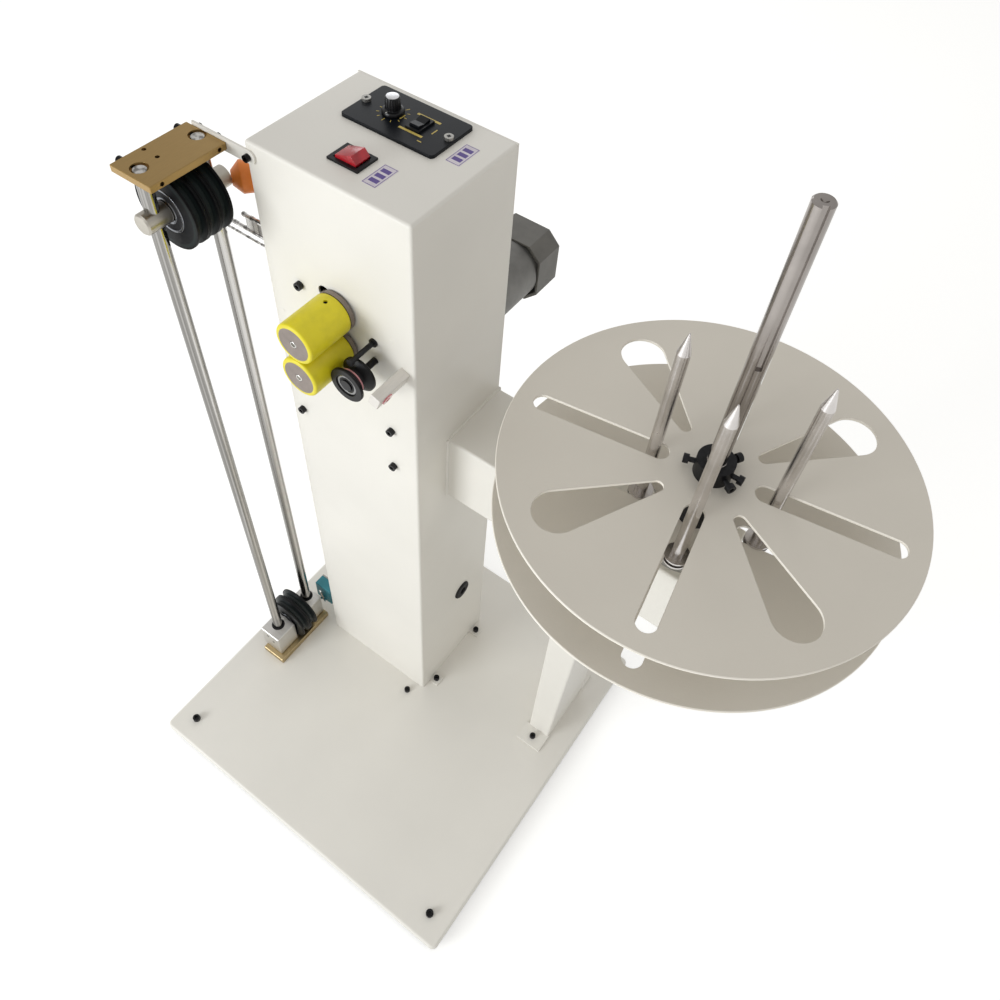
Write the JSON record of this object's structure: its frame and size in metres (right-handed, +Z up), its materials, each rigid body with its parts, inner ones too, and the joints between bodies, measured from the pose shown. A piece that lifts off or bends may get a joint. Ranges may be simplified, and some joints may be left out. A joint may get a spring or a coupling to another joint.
{
  "type": "wire spooling machine",
  "caption": "Floor-standing wire dereeler: slotted turntable with a spindle and reel pins, driven feed rollers on a sheet-metal column, and a sheave carriage that slides on guide rods.",
  "frame": {"origin": "on the floor, under the middle of the base plate", "axes": "+X towards the turntable, -X towards the dancer, -Y the side of the feed rollers, +Y the motor's side, +Z up along the spindle"},
  "size_m": [0.7119, 0.5891, 0.977],
  "materials": {
    "powder_coat": "fine satin powder coat, off-white",
    "foot_rubber": "moulded",
    "black_screws": "black oxide",
    "grommet_rubber": "moulded",
    "turned_steel": "turned and ground",
    "disc_steel": "brushed, bright edges",
    "bearing_steel": "ground",
    "cast_grey": "cast, matt",
    "spring_steel": "drawn wire",
    "gear_grey": "cast and painted grey",
    "motor_grey": "matt grey paint",
    "fan_grey": "matt grey",
    "belt_rubber": "moulded",
    "pulley_metal": "turned",
    "roller_hub": "turned, warm grey",
    "roller_tyre": "smooth polyurethane",
    "pulley_grey": "turned, satin",
    "block_grey": "moulded",
    "eyelet_ceramic": "glazed",
    "controller_black": "printed panel",
    "knob_black": "fluted",
    "switch_black": "moulded",
    "rocker_red": "translucent red",
    "brass_plate": "passivated gold",
    "axle_steel": "turned",
    "sheave_black": "black anodised",
    "carriage_aluminium": "satin",
    "bearing_black": "sealed sleeve",
    "bar_steel": "drawn",
    "cone_orange": "moulded",
    "switch_teal": "moulded",
    "lever_steel": "stamped"
  },
  "bodies": {
    "frame": {"base_plate": "powder_coat", "rubber_feet": "foot_rubber", "foot_screws": "black_screws", "column_housing": "powder_coat", "column_back_cover": "powder_coat", "frame_screws": "black_screws", "cable_grommet": "grommet_rubber", "arm_beam": "powder_coat", "support_leg": "powder_coat", "spindle_housing": "cast_grey", "ball_bearings": "bearing_steel", "roller_bracket": "cast_grey", "pinch_spring": "spring_steel", "gearhead": "gear_grey", "motor_body": "motor_grey", "fan_cover": "fan_grey", "timing_belt": "belt_rubber", "guide_studs": "turned_steel", "guide_block": "block_grey", "ceramic_eyelet": "eyelet_ceramic", "speed_controller": "controller_black", "switch_housings": "switch_black", "top_clamp_plate": "brass_plate", "guide_rods": "turned_steel", "bottom_stop_plate": "brass_plate", "upper_axle": "axle_steel", "dancer_bracket": "powder_coat", "guard_bars": "bar_steel", "outlet_cone": "cone_orange", "limit_switch": "switch_teal", "switch_bracket": "lever_steel", "small_screws": "black_screws"},
    "turntable": {"spindle_shaft": "turned_steel", "hub_collars": "turned_steel", "hub_screws": "black_screws", "top_disc": "disc_steel", "lower_disc": "disc_steel"},
    "reel_pin_right": {"reel_pin_right": "turned_steel"},
    "reel_pin_back": {"reel_pin_back": "turned_steel"},
    "reel_pin_left": {"reel_pin_left": "turned_steel"},
    "reel_pin_front": {"reel_pin_front": "turned_steel"},
    "drive_roller": {"drive_roller_hub": "roller_hub", "drive_roller_tyre": "roller_tyre", "drive_shaft": "turned_steel", "drive_pulley": "pulley_metal"},
    "motor_output": {"motor_shaft": "turned_steel", "motor_pulley": "pulley_metal"},
    "pinch_arm": {"pinch_arm": "turned_steel"},
    "pinch_roller": {"pinch_roller_hub": "roller_hub", "pinch_roller_tyre": "roller_tyre"},
    "guide_pulley": {"guide_pulley": "pulley_grey"},
    "upper_sheaves": {"upper_sheaves": "sheave_black"},
    "carriage": {"carriage_blocks": "carriage_aluminium", "carriage_axle": "turned_steel", "carriage_bearings": "bearing_black"},
    "lower_sheaves": {"lower_sheaves": "sheave_black"},
    "power_rocker": {"power_rocker": "rocker_red"},
    "run_rocker": {"run_rocker": "switch_black"},
    "speed_knob": {"speed_knob": "knob_black"},
    "switch_lever": {"switch_lever": "lever_steel"}
  },
  "joints": [
    {"name": "turntable_spin", "type": "hinge", "parent": "frame", "child": "turntable", "pos_m": [0.27495, 0.1151, 0.62], "axis": [0, 0, 1], "continuous": true},
    {"name": "reel_pin_right_slide", "type": "slide", "parent": "turntable", "child": "reel_pin_right", "axis": [0.9877, 0.1564, 0], "range_m": [-0.014, 0.106]},
    {"name": "reel_pin_back_slide", "type": "slide", "parent": "turntable", "child": "reel_pin_back", "axis": [-0.1564, 0.9877, 0], "range_m": [-0.009, 0.111]},
    {"name": "reel_pin_left_slide", "type": "slide", "parent": "turntable", "child": "reel_pin_left", "axis": [-0.9877, -0.1564, 0], "range_m": [-0.008, 0.112]},
    {"name": "reel_pin_front_slide", "type": "slide", "parent": "turntable", "child": "reel_pin_front", "axis": [0.1564, -0.9877, 0], "range_m": [-0.005, 0.115]},
    {"name": "drive_spin", "type": "hinge", "parent": "frame", "child": "drive_roller", "pos_m": [-0.06925, -0.0114, 0.707], "axis": [0, 1, 0], "continuous": true},
    {"name": "motor_spin", "type": "hinge", "parent": "frame", "child": "motor_output", "pos_m": [-0.06925, 0.1486, 0.62], "axis": [0, 1, 0], "continuous": true},
    {"name": "pinch_swing", "type": "hinge", "parent": "frame", "child": "pinch_arm", "pos_m": [-0.10425, 0.0386, 0.714], "axis": [0, -1, 0], "range_deg": [0, 22], "stiffness_Nm_per_rad": 3, "springref_deg": -17.19},
    {"name": "pinch_spin", "type": "hinge", "parent": "pinch_arm", "child": "pinch_roller", "pos_m": [-0.06925, -0.0114, 0.7493], "axis": [0, 1, 0], "continuous": true},
    {"name": "guide_spin", "type": "hinge", "parent": "frame", "child": "guide_pulley", "pos_m": [-0.02925, -0.0114, 0.7085], "axis": [0, 1, 0], "continuous": true},
    {"name": "upper_sheaves_spin", "type": "hinge", "parent": "frame", "child": "upper_sheaves", "pos_m": [-0.20225, -0.0189, 0.825], "axis": [0, 1, 0], "continuous": true},
    {"name": "carriage_slide", "type": "slide", "parent": "frame", "child": "carriage", "axis": [0, 0, 1], "range_m": [0, 0.64]},
    {"name": "lower_sheaves_spin", "type": "hinge", "parent": "carriage", "child": "lower_sheaves", "pos_m": [-0.20225, -0.02065, 0.0665], "axis": [0, 1, 0], "continuous": true},
    {"name": "power_switch", "type": "hinge", "parent": "frame", "child": "power_rocker", "pos_m": [-0.07225, 0.0551, 0.884], "axis": [0, 1, 0], "range_deg": [0, 34]},
    {"name": "run_switch", "type": "hinge", "parent": "frame", "child": "run_rocker", "pos_m": [-0.05835, 0.12385, 0.887], "axis": [1, 0, 0], "range_deg": [-8, 8]},
    {"name": "speed_turn", "type": "hinge", "parent": "frame", "child": "speed_knob", "pos_m": [-0.08715, 0.12385, 0.887], "axis": [0, 0, -1], "range_deg": [0, 300]},
    {"name": "lever_press", "type": "hinge", "parent": "frame", "child": "switch_lever", "pos_m": [-0.18525, 0.0262, 0.059], "axis": [-1, 0, 0], "range_deg": [0, 6], "stiffness_Nm_per_rad": 0.05}
  ],
  "couplings": [
    {"joint": "motor_spin", "follows": "drive_spin", "ratio": 1},
    {"joint": "pinch_spin", "follows": "drive_spin", "ratio": -1}
  ]
}
